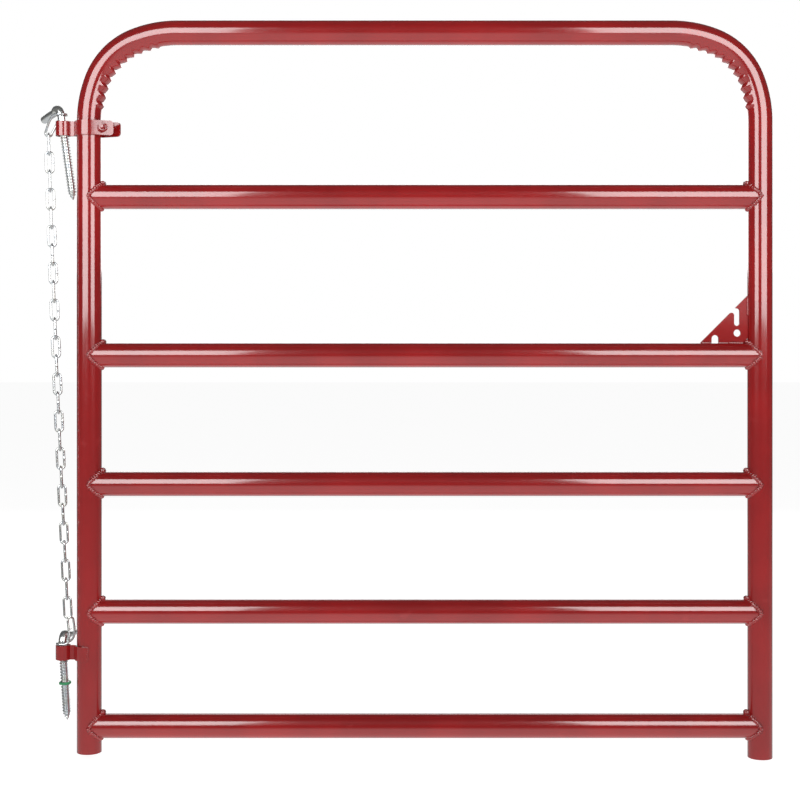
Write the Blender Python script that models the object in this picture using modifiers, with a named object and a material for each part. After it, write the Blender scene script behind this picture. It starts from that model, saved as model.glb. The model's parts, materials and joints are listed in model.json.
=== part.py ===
"""Livestock panel gate: a bent tube frame with five welded rails, a latch plate, two hinge straps with
their lag-screw hinge pins, and the gate chain that hangs between the two pins.

Metres, +Z up. The origin is on the hinge line, level with the right foot. +X runs along the gate
from the hinge side to the latch side, and the gate's front faces -Y.
"""

import math

import bmesh
import bpy
from mathutils import Matrix, Vector

# Gaps and tube
MM = 0.001
GAP = 0.0003  # what touches or is welded keeps this gap
TUBE_RADIUS = 0.0211
TUBE_WALL = 0.0015
TUBE_SIDES = 24

# Frame and rails, heights from the foot of the right leg
GATE_HEIGHT = 1.270
LEFT_FOOT = 0.009  # the left leg is cut a little shorter
LEG_SPACING = 1.1569
BEND_RADIUS = 0.1174  # the tight middle part of a bend
BEND_EASE_RADIUS = 0.198  # the slack part at each end of it
BEND_EASE = math.radians(21.5)
BEND_STEPS = 10
RAIL_HEIGHTS = (0.966, 0.693, 0.471, 0.251, 0.054)
LATCH_RAIL_HEIGHT = RAIL_HEIGHTS[1]  # the latch plate stands on this rail

# Hinge straps: flat bar, rolled to an eye for the pin
EYE_TO_LEG = 0.045
EYE_BORE_RADIUS = 0.0096
LOWER_EYE_Z = 0.181
UPPER_EYE_Z = 1.0833
STRAP_WALL = 0.0032
STRAP_HEIGHT = 0.025
NECK_HALF_GAP = 0.0018  # from the middle plane to the middle of each strap wall
NECK_FILLET = 0.004
EAR_ANGLE = math.radians(20)  # the ears lean towards each other
FRONT_EAR = 0.0375
BACK_EAR = 0.0475
EAR_CORNER = 0.006
WELDED_END_ANGLE = math.radians(2)  # past the front of the leg

# Clamp bolt and nut of the upper strap
BOLT_FROM_LEG = 0.0287
BOLT_RADIUS = 0.00476
BOLT_HOLE_RADIUS = 0.0056
HEX_ACROSS_CORNERS = 0.0165
BOLT_HEAD = 0.006
NUT_HEIGHT = 0.008
HEAD_SEAT = 0.0190  # from the middle plane to the seat of the head and of the nut
BOLT_POKE = 0.0035

# Lag-screw hinge pin: a threaded shank bent over to a smooth pin
LAG_THREAD_RADIUS = 0.0078
LAG_BODY_RADIUS = 0.00675
LAG_ELBOW_RADIUS = 0.0090  # upset, at the start of the pin
LAG_BEND_RADIUS = 0.011
LAG_POINT = 0.014
UPPER_LAG = {
    "length": 0.158, "thread": 0.110, "pin": 0.064, "rise": 0.034, "lean": 8.0, "arm": 131, "droop": 6,
}
LOWER_LAG = {
    "length": 0.1435, "thread": 0.1155, "pin": 0.057, "rise": 0.0266, "lean": 3.6, "arm": 77, "droop": 0,
}

# Keeper ring on the lower lag's thread
KEEPER_DROP = 0.053
KEEPER_RADIUS = 0.0092
KEEPER_WIRE = 0.0011
KEEPER_STRETCH = 1.75

# Chain: long links of round wire, between two bent end loops
LINK_COUNT = 26
LINK_PITCH = 0.032
LINK_INSIDE = 0.0323
LINK_WIDTH = 0.016
WIRE_RADIUS = 0.002
LINK_ARC_STEPS = 5
PIVOT_DROP = WIRE_RADIUS + GAP / 2  # a link turns on the middle of the wire it hangs from
CHAIN_YAW = math.radians(10)
CHAIN_LEAN = 0.00115  # sideways per link, at the top
CHAIN_CURVE = 0.0000128  # and how it grows with the link's number
CHAIN_FORWARD = -0.00085  # towards the front, per link
LOOP_NECK_RADIUS = 0.0096  # round the lag's neck
LOOP_TIP_RADIUS = 0.006  # where the chain hooks in
LOOP_SLACK = 0.0007
# Each end loop's run from the lag's neck, in mm: distance out, height over the eye, half width,
# and the bearing of its width in degrees
UPPER_LOOP = (
    (0.0, 24.3, 9.6, 65),
    (7.0, 23.6, 9.6, 65),
    (13.0, 18.5, 9.3, 60),
    (18.5, 9.5, 8.4, 50),
    (23.5, 0.0, 7.0, 42),
    (26.8, -5.5, 6.0, 35),
)
LOWER_LOOP = (
    (0.0, 14.8, 9.6, 90),
    (6.5, 15.2, 9.6, 90),
    (12.5, 19.0, 9.4, 84),
    (15.5, 27.0, 8.8, 74),
    (15.5, 39.0, 7.4, 62),
    (13.6, 54.0, 6.0, 50),
)

# Latch plate, measured from the corner where the leg's side meets the rail's top
PLATE_SIDE = 0.082
PLATE_THICKNESS = 0.0048
PLATE_CORNER = 0.008
SLOT_CENTRE = 0.01915
SLOT_RADIUS = 0.00475
SLOT_BOTTOM = 0.0342
SLOT_TOP = 0.0547
PRONG_RADIUS = 0.0045
HOLE_CENTRE = (0.0186, 0.017)
HOLE_RADIUS = 0.0062
ARCH_CENTRE = (0.05665, 0.0075)
ARCH_RADIUS = 0.00605

LEFT_LEG_X = EYE_TO_LEG
RIGHT_LEG_X = EYE_TO_LEG + LEG_SPACING
TOP_TUBE_Z = GATE_HEIGHT - TUBE_RADIUS


# ---------------------------------------------------------------- scene, materials and small helpers


def clear_scene():
    for obj in list(bpy.data.objects):
        bpy.data.objects.remove(obj)


def collection(name, shown=True):
    made = bpy.data.collections.new(name)
    bpy.context.scene.collection.children.link(made)
    made.hide_render = not shown
    return made


def material(name, colour, roughness, metallic):
    made = bpy.data.materials.new(name)
    made.use_nodes = True
    shader = made.node_tree.nodes["Principled BSDF"]
    shader.inputs["Base Color"].default_value = (*colour, 1)
    shader.inputs["Roughness"].default_value = roughness
    shader.inputs["Metallic"].default_value = metallic
    made.diffuse_color = (*colour, 1)
    return made


def place(name, data, finish=None, group=None, location=(0, 0, 0), turn=None):
    """A new object of the data, in its collection, turned by a 3x3 matrix."""
    obj = bpy.data.objects.new(name, data)
    (group or GATE).objects.link(obj)
    obj.location = location
    if turn is not None:
        obj.rotation_euler = turn.to_euler()
    if finish and not data.materials:
        data.materials.append(finish)
    return obj


def arc(centre, radius, start, end, steps):
    """Points of a flat arc, from one angle to another, both included."""
    angles = [start + (end - start) * i / steps for i in range(steps + 1)]
    return [Vector((centre[0] + radius * math.cos(a), centre[1] + radius * math.sin(a))) for a in angles]


def smooth_through(points, steps):
    """Points of a Catmull-Rom curve through the given ones."""
    ends = [2 * points[0] - points[1], *points, 2 * points[-1] - points[-2]]
    made = []
    for a, b, c, d in zip(ends, ends[1:], ends[2:], ends[3:]):
        for i in range(steps):
            t = i / steps
            square, cube = 2 * a - 5 * b + 4 * c - d, 3 * b - a - 3 * c + d
            made.append((2 * b + (c - a) * t + square * t**2 + cube * t**3) / 2)
    return [*made, points[-1]]


def wire(name, points, radius, sides, scales=None, closed=False, caps=True):
    """A curve of round section along the points; scales multiply its radius at each point."""
    data = bpy.data.curves.new(name, "CURVE")
    data.dimensions = "3D"
    data.bevel_depth = radius
    data.bevel_resolution = sides // 2 - 2
    data.use_fill_caps = caps
    spline = data.splines.new("POLY")
    spline.points.add(len(points) - 1)
    for i, (point, target) in enumerate(zip(points, spline.points)):
        target.co = (*point, 1)
        target.radius = scales[i] if scales else 1
    spline.use_cyclic_u = closed
    return data


def mesh_of(curve):
    """The curve's mesh, welded, with its faces pointing outwards."""
    helper = bpy.data.objects.new(curve.name, curve)
    bpy.context.scene.collection.objects.link(helper)
    graph = bpy.context.evaluated_depsgraph_get()
    mesh = bpy.data.meshes.new_from_object(helper.evaluated_get(graph))
    bpy.data.objects.remove(helper)
    shape = bmesh.new()
    shape.from_mesh(mesh)
    bmesh.ops.remove_doubles(shape, verts=shape.verts, dist=0.00001)
    bmesh.ops.recalc_face_normals(shape, faces=shape.faces)
    shape.to_mesh(mesh)
    shape.free()
    return mesh


def smooth(obj):
    obj.data.shade_smooth()
    obj.data.set_sharp_from_angle(angle=math.radians(35))
    return obj


def cylinder_mesh(name, radius, depth, sides, capped=True):
    """A cylinder on the Z axis, centred on its middle."""
    shape = bmesh.new()
    bmesh.ops.create_cone(
        shape, cap_ends=capped, segments=sides, radius1=radius, radius2=radius, depth=depth
    )
    mesh = bpy.data.meshes.new(name)
    shape.to_mesh(mesh)
    shape.free()
    return mesh


def cut(obj, cutter, operation="DIFFERENCE"):
    modifier = obj.modifiers.new(f"{operation.lower()} {cutter.name}", "BOOLEAN")
    modifier.operation = operation
    modifier.solver = "EXACT"
    modifier.object = cutter


def cutter(name, mesh, location=(0, 0, 0), turn=None):
    obj = place(name, mesh, group=CUTTERS, location=location, turn=turn)
    obj.hide_render = True
    obj.display_type = "WIRE"
    return obj


def thicken(obj, thickness, offset):
    modifier = obj.modifiers.new("wall", "SOLIDIFY")
    modifier.thickness = thickness
    modifier.offset = offset
    modifier.use_even_offset = True


# ---------------------------------------------------------------- frame and rails


def eased_bend():
    """A right-angled bend from straight up to level, tight in its middle, and how far it reaches each way."""
    slack = BEND_EASE_RADIUS - BEND_RADIUS
    centre = (BEND_EASE_RADIUS - slack * math.cos(BEND_EASE), slack * math.sin(BEND_EASE))
    reach = sum(centre)
    start = arc((BEND_EASE_RADIUS, 0), BEND_EASE_RADIUS, math.pi, math.pi - BEND_EASE, 2)
    tight = arc(centre, BEND_RADIUS, math.pi - BEND_EASE, math.pi / 2 + BEND_EASE, BEND_STEPS)
    end = [Vector((reach - p.y, reach - p.x)) for p in reversed(start)]
    return [*start, *tight[1:], *end[1:]], reach


def frame_tube():
    """One tube from foot to foot, bent at both top corners."""
    bend, reach = eased_bend()
    low = TOP_TUBE_Z - reach
    left = [Vector((LEFT_LEG_X + p.x, low + p.y)) for p in bend]
    right = [Vector((RIGHT_LEG_X - p.x, low + p.y)) for p in reversed(bend)]
    path = [Vector((LEFT_LEG_X, LEFT_FOOT)), *left, *right, Vector((RIGHT_LEG_X, 0))]
    points = [(p.x, 0, p.y) for p in path]
    mesh = mesh_of(wire("frame_tube", points, TUBE_RADIUS, TUBE_SIDES, caps=False))
    tube = place("frame_tube", mesh, PAINT)
    thicken(tube, TUBE_WALL, -1)
    return smooth(tube)


def rails():
    """Tubes between the legs, each end coped to the leg's round."""
    across = Matrix.Rotation(math.pi / 2, 3, "Y")
    round_leg = cylinder_mesh("leg", TUBE_RADIUS + GAP, 2 * GATE_HEIGHT, 48)
    legs = [
        cutter("left_leg", round_leg, (LEFT_LEG_X, 0, 0)),
        cutter("right_leg", round_leg, (RIGHT_LEG_X, 0, 0)),
    ]
    middle = (LEFT_LEG_X + RIGHT_LEG_X) / 2
    for number, height in enumerate(RAIL_HEIGHTS, 1):
        mesh = cylinder_mesh(f"rail_{number}", TUBE_RADIUS, LEG_SPACING, TUBE_SIDES, capped=False)
        rail = place(f"rail_{number}", mesh, PAINT, location=(middle, 0, height), turn=across)
        thicken(rail, TUBE_WALL, -1)
        for leg in legs:
            cut(rail, leg)
        smooth(rail)


# ---------------------------------------------------------------- latch plate


def latch_plate():
    """A corner gusset with a hooked slot for the chain, a bolt hole and an arch over the rail."""
    edge = PLATE_SIDE + GAP
    arch_x, arch_z = -ARCH_CENTRE[0], ARCH_CENTRE[1]
    slot_x = -SLOT_CENTRE
    prong_x = slot_x - SLOT_RADIUS - PRONG_RADIUS
    prong_z = edge + prong_x - PRONG_RADIUS * math.sqrt(2)
    outline = [
        Vector((-PLATE_SIDE, GAP)),
        Vector((arch_x - ARCH_RADIUS, GAP)),
        *arc((arch_x, arch_z), ARCH_RADIUS, math.pi, 0, 10),
        Vector((arch_x + ARCH_RADIUS, GAP)),
        Vector((-PLATE_CORNER - GAP, GAP)),
        Vector((-GAP, PLATE_CORNER + GAP)),
        Vector((-GAP, PLATE_SIDE)),
        Vector((slot_x - 0.003, edge + slot_x - 0.003)),
        *arc((slot_x, SLOT_TOP), SLOT_RADIUS, math.radians(75), 0, 4),
        *arc((slot_x, SLOT_BOTTOM), SLOT_RADIUS, 0, -math.pi, 8),
        *arc((prong_x, prong_z), PRONG_RADIUS, 0, math.radians(135), 6),
    ]
    data = bpy.data.curves.new("latch_plate", "CURVE")
    data.dimensions = "2D"
    data.fill_mode = "BOTH"
    data.extrude = PLATE_THICKNESS / 2
    hole = arc((-HOLE_CENTRE[0], HOLE_CENTRE[1]), HOLE_RADIUS, 0, 2 * math.pi, 20)[:-1]
    for loop in (outline, hole):
        spline = data.splines.new("POLY")
        spline.points.add(len(loop) - 1)
        for point, target in zip(loop, spline.points):
            target.co = (point.x, point.y, 0, 1)
        spline.use_cyclic_u = True
    corner = (RIGHT_LEG_X - TUBE_RADIUS, 0, LATCH_RAIL_HEIGHT + TUBE_RADIUS)
    place("latch_plate", data, PAINT, location=corner, turn=Matrix.Rotation(math.pi / 2, 3, "X"))


# ---------------------------------------------------------------- hinge straps and clamp bolt


def strap_front():
    """Plan of a strap's front half, on its middle surface, from the eye's far side to the leg's front."""
    eye = EYE_BORE_RADIUS + STRAP_WALL / 2
    leg = TUBE_RADIUS + GAP + STRAP_WALL / 2
    drop = NECK_HALF_GAP + NECK_FILLET
    near_x = math.sqrt((eye + NECK_FILLET) ** 2 - drop**2)
    far_x = EYE_TO_LEG - math.sqrt((leg + NECK_FILLET) ** 2 - drop**2)
    near_angle = math.atan2(drop, near_x)
    far_angle = math.atan2(drop, EYE_TO_LEG - far_x)
    return [
        *arc((0, 0), eye, -math.pi, -near_angle, 14),
        *arc((near_x, -drop), NECK_FILLET, math.pi - near_angle, math.pi / 2, 4)[1:],
        *arc((far_x, -drop), NECK_FILLET, math.pi / 2, far_angle, 4),
        *arc((EYE_TO_LEG, 0), leg, math.pi + far_angle, 1.5 * math.pi, 7)[1:],
    ]


def ear(length):
    """Plan of a front ear: on round the leg, then straight off it. Half heights go with it."""
    leg = TUBE_RADIUS + GAP + STRAP_WALL / 2
    round_part = arc((EYE_TO_LEG, 0), leg, 1.5 * math.pi, 1.5 * math.pi + EAR_ANGLE, 3)[1:]
    along = Vector((math.cos(EAR_ANGLE), math.sin(EAR_ANGLE)))
    corner = arc((length - EAR_CORNER, STRAP_HEIGHT / 2 - EAR_CORNER), EAR_CORNER, math.pi / 2, 0, 4)
    points = round_part + [round_part[-1] + along * c.x for c in corner]
    heights = [STRAP_HEIGHT / 2] * len(round_part) + [c.y for c in corner]
    return points, heights


def strip(name, plan, heights, eye_z):
    """A flat bar that stands on its plan, with its half height at each point."""
    shape = bmesh.new()
    rows = [
        [shape.verts.new((p.x, p.y, side * h)) for p, h in zip(plan, heights)]
        for side in (-1, 1)
    ]
    for i in range(len(plan) - 1):
        shape.faces.new((rows[0][i], rows[0][i + 1], rows[1][i + 1], rows[1][i]))
    mesh = bpy.data.meshes.new(name)
    shape.to_mesh(mesh)
    shape.free()
    bar = place(name, mesh, PAINT, location=(0, 0, eye_z))
    thicken(bar, STRAP_WALL, 0)
    return smooth(bar)


def upper_strap():
    """One bar that goes round the eye and the leg, with two ears for the clamp bolt."""
    front = strap_front()
    level = [STRAP_HEIGHT / 2] * len(front)
    front_ear, front_heights = ear(FRONT_EAR)
    back_ear, back_heights = ear(BACK_EAR)
    back = [Vector((p.x, -p.y)) for p in front + back_ear]
    plan = [*reversed(back[1:]), *front, *front_ear]
    heights = [*reversed((level + back_heights)[1:]), *level, *front_heights]
    strap = strip("upper_hinge_strap", plan, heights, UPPER_EYE_Z)
    hole = cylinder_mesh("bolt_hole", BOLT_HOLE_RADIUS, 4 * BOLT_FROM_LEG, 20)
    cut(strap, cutter("bolt_hole", hole, bolt_place(0), FACE_FRONT))


def lower_strap():
    """A bar rolled to an eye and welded round the front of the leg."""
    front = strap_front()
    closing = arc((0, 0), EYE_BORE_RADIUS + STRAP_WALL / 2, math.radians(-338), -math.pi, 9)[:-1]
    leg = TUBE_RADIUS + GAP + STRAP_WALL / 2
    end = arc((EYE_TO_LEG, 0), leg, 1.5 * math.pi, 1.5 * math.pi + WELDED_END_ANGLE, 2)[1:]
    plan = [*closing, *front, *end]
    strip("lower_hinge_strap", plan, [STRAP_HEIGHT / 2] * len(plan), LOWER_EYE_Z)


def bolt_place(depth):
    """A point on the clamp bolt's axis, at a distance behind the gate's middle plane."""
    return LEFT_LEG_X + BOLT_FROM_LEG, depth, UPPER_EYE_Z


def clamp_bolt():
    """A hex bolt, head at the back, and its nut at the front."""
    tip = -HEAD_SEAT - NUT_HEIGHT - BOLT_POKE
    head = cylinder_mesh("clamp_bolt", HEX_ACROSS_CORNERS / 2, BOLT_HEAD, 6)
    bolt = place("clamp_bolt", head, PAINT, location=bolt_place(HEAD_SEAT + BOLT_HEAD / 2), turn=FACE_FRONT)
    end = HEAD_SEAT + BOLT_HEAD / 2
    shank = cylinder_mesh("bolt_shank", BOLT_RADIUS, end - tip, 16)
    cut(bolt, cutter("bolt_shank", shank, bolt_place((end + tip) / 2), FACE_FRONT), "UNION")
    nut_mesh = cylinder_mesh("clamp_nut", HEX_ACROSS_CORNERS / 2, NUT_HEIGHT, 6)
    nut_at = bolt_place(-HEAD_SEAT - NUT_HEIGHT / 2)
    nut = place("clamp_nut", nut_mesh, PAINT, location=nut_at, turn=FACE_FRONT)
    bore = cylinder_mesh("nut_bore", BOLT_RADIUS + GAP, 2 * NUT_HEIGHT, 16)
    cut(nut, cutter("nut_bore", bore, nut_at, FACE_FRONT))


# ---------------------------------------------------------------- lag-screw hinge pins


def lag_frame(spec):
    """A 3x3 turn whose Z runs up the leaning shank and whose X runs along the pin."""
    up = Vector((-math.tan(math.radians(spec["lean"])), 0, 1)).normalized()
    arm = math.radians(spec["arm"])
    level = Vector((math.cos(arm), math.sin(arm), 0))
    along = (level - level.dot(up) * up).normalized()
    return Matrix((along, up.cross(along), up)).transposed()


def lag(name, spec, eye_z):
    """Point, thread, smooth neck, a swollen elbow and the smooth pin, swept as one rod."""
    rise = spec["rise"]
    tip = rise - spec["length"]
    pin = spec["pin"]
    thread, body = LAG_THREAD_RADIUS, LAG_BODY_RADIUS
    thread_top = tip + spec["thread"]
    path = [
        ((0, tip), 0.0006),
        ((0, tip + LAG_POINT), thread),
        ((0, thread_top), thread),
        ((0, thread_top + 0.001), body),
        ((0, rise - LAG_BEND_RADIUS - 0.002), body),
    ]
    upset = LAG_ELBOW_RADIUS - body
    bend = arc((LAG_BEND_RADIUS, rise - LAG_BEND_RADIUS), LAG_BEND_RADIUS, math.pi, math.pi / 2, 6)
    for i, point in enumerate(bend):
        path.append((tuple(point), body + upset * (i / 6) ** 2))
    drop = math.tan(math.radians(spec["droop"]))
    for out, radius in (
        (LAG_BEND_RADIUS + 0.005, body + 0.7 * upset),
        (LAG_BEND_RADIUS + 0.009, body),
        (pin - 0.003, body),
        (pin, 0.75 * body),
    ):
        path.append(((out, rise - (out - LAG_BEND_RADIUS) * drop), radius))
    points = [(x, 0, z) for (x, z), _ in path]
    scales = [r / body for _, r in path]
    data = wire(name, points, body, 12, scales)
    place(name, data, ZINC, location=(0, 0, eye_z), turn=lag_frame(spec))


def keeper_ring():
    """A soft ring pushed up the lower lag's thread, so that the lag can't lift out of its eye."""
    frame = lag_frame(LOWER_LAG)
    bpy.ops.mesh.primitive_torus_add(
        major_segments=24, minor_segments=8, major_radius=KEEPER_RADIUS, minor_radius=KEEPER_WIRE
    )
    ring = bpy.context.object
    ring.data.transform(Matrix.Diagonal((1, 1, KEEPER_STRETCH, 1)))
    for group in ring.users_collection:
        group.objects.unlink(ring)
    GATE.objects.link(ring)
    ring.name = "keeper_ring"
    ring.location = Vector((0, 0, LOWER_EYE_Z)) + frame @ Vector((0, 0, -KEEPER_DROP))
    ring.rotation_euler = frame.to_euler()
    ring.data.materials.append(GREEN)
    smooth(ring)


# ---------------------------------------------------------------- chain and its end loops


def neck_centre(spec, height, eye_z):
    """Where the lag's axis passes a height over its eye."""
    return Vector((-math.tan(math.radians(spec["lean"])) * height, 0, eye_z + height))


def loop_points(run, spec, eye_z):
    """The closed run of an end loop, round the neck, out along both sides and round its tip."""
    first, last = run[0], run[-1]
    climb = 1 if last[1] > first[1] else -1
    neck = neck_centre(spec, first[1] * MM, eye_z)
    bearing = math.radians(first[3])
    away = climb * Vector((math.sin(bearing), -math.cos(bearing), 0))

    def at(out, height, side, turned):
        width = Vector((math.cos(turned), math.sin(turned), 0))
        return neck + away * out + width * side + Vector((0, 0, height - first[1] * MM))

    legs = {}
    for side in (-1, 1):
        points = [at(out * MM, z * MM, side * half * MM, math.radians(t)) for out, z, half, t in run]
        legs[side] = smooth_through(points, 2)
    round_neck = arc((0, 0), LOOP_NECK_RADIUS, 0, math.pi, 8)[1:-1]
    crown = [at(-p.y, first[1] * MM, p.x, bearing) for p in round_neck]
    turned = math.radians(last[3])
    round_tip = arc((0, 0), LOOP_TIP_RADIUS, math.pi, 0, 6)[1:-1]
    tip = [at(last[0] * MM, last[1] * MM + climb * p.y, p.x, turned) for p in round_tip]
    return [*legs[-1], *tip, *reversed(legs[1]), *crown]


def end_loop(name, run, spec, eye_z):
    points = loop_points(run, spec, eye_z)
    origin = neck_centre(spec, run[0][1] * MM, eye_z)
    data = wire(name, [p - origin for p in points], WIRE_RADIUS, 8, closed=True, caps=False)
    place(name, data, ZINC, location=origin)


def chain_joints():
    """The pitch points of the chain, from the upper loop's tip to the last link's foot."""
    loop = loop_points(UPPER_LOOP, UPPER_LAG, UPPER_EYE_Z)
    lowest = min(loop, key=lambda p: p.z)
    joints = [lowest + Vector((0, 0, WIRE_RADIUS + LOOP_SLACK))]
    for i in range(LINK_COUNT):
        side = CHAIN_LEAN + CHAIN_CURVE * (2 * i + 1)
        down = math.sqrt(LINK_PITCH**2 - side**2 - CHAIN_FORWARD**2)
        joints.append(joints[-1] + Vector((side, CHAIN_FORWARD, -down)))
    return joints


def link_turn(number, along):
    """A 3x3 turn for a link: Z up along the chain, and Y across its flat. Every odd link stands edge on."""
    bearing = CHAIN_YAW + (0 if number % 2 else math.pi / 2)
    up = -along.normalized()
    flat = Vector((math.cos(bearing), math.sin(bearing), 0))
    flat = (flat - flat.dot(up) * up).normalized()
    return Matrix((flat.cross(up), flat, up)).transposed()


def chain():
    """Links 1 to 26, each with its origin on the wire that it hangs from."""
    bend = LINK_WIDTH / 2 - WIRE_RADIUS
    reach = LINK_INSIDE / 2 + WIRE_RADIUS - bend
    top = arc((0, reach), bend, 0, math.pi, LINK_ARC_STEPS)
    foot = arc((0, -reach), bend, math.pi, 2 * math.pi, LINK_ARC_STEPS)
    points = [(p.x, 0, p.y - LINK_PITCH / 2 + PIVOT_DROP) for p in top + foot]
    data = wire("chain_link", points, WIRE_RADIUS, 6, closed=True, caps=False)
    joints = chain_joints()
    for number, (above, below) in enumerate(zip(joints, joints[1:]), 1):
        turn = link_turn(number, below - above)
        pivot = above - turn.col[2] * PIVOT_DROP
        place(f"chain_link_{number:02d}", data, ZINC, location=pivot, turn=turn)


# ---------------------------------------------------------------- the whole gate

clear_scene()
GATE = collection("livestock_panel_gate")
CUTTERS = collection("cutters", shown=False)
PAINT = material("red powder coat", (0.42, 0.022, 0.024), 0.28, 0.0)
ZINC = material("bright zinc", (0.62, 0.64, 0.65), 0.3, 1.0)
GREEN = material("green plastic", (0.03, 0.33, 0.12), 0.45, 0.0)
FACE_FRONT = Matrix.Rotation(math.pi / 2, 3, "X")

frame_tube()
rails()
latch_plate()
lower_strap()
upper_strap()
clamp_bolt()
lag("upper_lag_hook", UPPER_LAG, UPPER_EYE_Z)
lag("lower_lag_hook", LOWER_LAG, LOWER_EYE_Z)
keeper_ring()
end_loop("upper_end_link", UPPER_LOOP, UPPER_LAG, UPPER_EYE_Z)
chain()
end_loop("lower_end_link", LOWER_LOOP, LOWER_LAG, LOWER_EYE_Z)
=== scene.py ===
"""The looks of the livestock panel gate, built round its packed frame.

Run as a script. Each operator makes one piece, or one group of like pieces, and the panel in the sidebar
lists them.
"""

import json
import math

import bmesh
import bpy
from bpy.props import FloatProperty, FloatVectorProperty, IntProperty, PointerProperty
from mathutils import Matrix, Vector


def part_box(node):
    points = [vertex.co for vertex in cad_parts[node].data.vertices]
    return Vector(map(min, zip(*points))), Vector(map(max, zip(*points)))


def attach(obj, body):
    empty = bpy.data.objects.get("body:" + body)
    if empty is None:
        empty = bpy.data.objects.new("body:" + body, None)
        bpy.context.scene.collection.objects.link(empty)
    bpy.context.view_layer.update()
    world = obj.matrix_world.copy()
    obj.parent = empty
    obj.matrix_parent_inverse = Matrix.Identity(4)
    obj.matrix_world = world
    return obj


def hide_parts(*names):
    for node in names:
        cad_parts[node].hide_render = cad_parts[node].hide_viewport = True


bl_info = {
    "name": "Livestock panel gate",
    "version": (1, 0, 0),
    "blender": (4, 5, 0),
    "location": "3D View > Sidebar > Gate",
    "description": "Builds the visible pieces of a tube gate round its frame",
    "category": "Object",
}

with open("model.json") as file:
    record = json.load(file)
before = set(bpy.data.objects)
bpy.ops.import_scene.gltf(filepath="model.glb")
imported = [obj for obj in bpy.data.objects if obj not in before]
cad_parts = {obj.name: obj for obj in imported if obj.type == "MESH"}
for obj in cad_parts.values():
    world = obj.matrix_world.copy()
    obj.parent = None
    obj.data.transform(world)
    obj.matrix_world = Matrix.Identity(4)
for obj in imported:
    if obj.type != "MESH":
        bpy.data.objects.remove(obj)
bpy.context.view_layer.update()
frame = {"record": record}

JOINTS = {joint["name"]: joint for joint in frame["record"]["behaviour"]["joints"]}
RAILS = [f"rail_{number}" for number in range(1, 6)]
LINKS = [f"chain_link_{number:02d}" for number in range(1, 27)]


def low(node):
    return Vector(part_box(node)[0])


def high(node):
    return Vector(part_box(node)[1])


def middle(node):
    return (low(node) + high(node)) / 2


def pivot(joint):
    return Vector(JOINTS[joint]["pos_m"])


TUBE_RADIUS = (high("rail_1").y - low("rail_1").y) / 2
LEFT_LEG_X = low("frame_tube").x + TUBE_RADIUS
RIGHT_LEG_X = high("frame_tube").x - TUBE_RADIUS
GATE_MIDDLE_X = (LEFT_LEG_X + RIGHT_LEG_X) / 2
GATE_HEIGHT = high("frame_tube").z
UPPER_EYE = pivot("upper_lag_turn")
LOWER_EYE = pivot("lower_lag_turn")

MM = 0.001
GAP = 0.0003  # what touches or is welded in the CAD keeps this gap

# Each lag: its length and its thread's, the pin's reach, the pin's rise over the eye, and its lean, bearing
# and droop in degrees
UPPER_LAG = {
    "length": 0.158,
    "thread": 0.110,
    "pin": 0.064,
    "rise": 0.034,
    "lean": 8.0,
    "bearing": 131,
    "droop": 6,
}
LOWER_LAG = {
    "length": 0.1435,
    "thread": 0.1155,
    "pin": 0.057,
    "rise": 0.0266,
    "lean": 3.6,
    "bearing": 77,
    "droop": 0,
}
STRAP_HEIGHT = high("upper_hinge_strap").z - low("upper_hinge_strap").z
LATCH_CORNER = Vector((high("latch_plate").x, 0, low("latch_plate").z))


# ---------------------------------------------------------------- settings


class FrameSizes(bpy.types.PropertyGroup):
    """The bent tube and the rails."""

    wall: FloatProperty(
        name="Wall", description="Thickness of the tube's wall", default=0.0015, unit="LENGTH"
    )
    left_foot: FloatProperty(
        name="Left foot",
        description="Height of the left foot over the right one", default=0.009, unit="LENGTH",
    )
    bend: FloatProperty(
        name="Bend", description="Radius of a bend's tight middle", default=0.1174, unit="LENGTH"
    )
    ease: FloatProperty(
        name="Ease", description="Radius of a bend's slack ends", default=0.198, unit="LENGTH"
    )
    ease_angle: FloatProperty(
        name="Ease angle", description="Turn of each slack end", default=math.radians(21.5), subtype="ANGLE"
    )
    crease_pitch: FloatProperty(
        name="Crease pitch",
        description="Spacing of the creases inside a bend, on the axis", default=0.0178, unit="LENGTH",
    )
    crease_height: FloatProperty(
        name="Crease height", description="How far a crease stands out", default=0.0042, unit="LENGTH"
    )
    sides: IntProperty(name="Sides", description="Sides round a tube", default=56, min=12)


class WeldSizes(bpy.types.PropertyGroup):
    """The weld beads."""

    width: FloatProperty(name="Width", description="Width of a bead", default=0.0092, unit="LENGTH")
    ripple: FloatProperty(
        name="Ripple", description="Spacing of a bead's ripples", default=0.0044, unit="LENGTH"
    )
    tack: FloatProperty(
        name="Tack", description="Width of a tack weld on the latch plate", default=0.0045, unit="LENGTH"
    )


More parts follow.
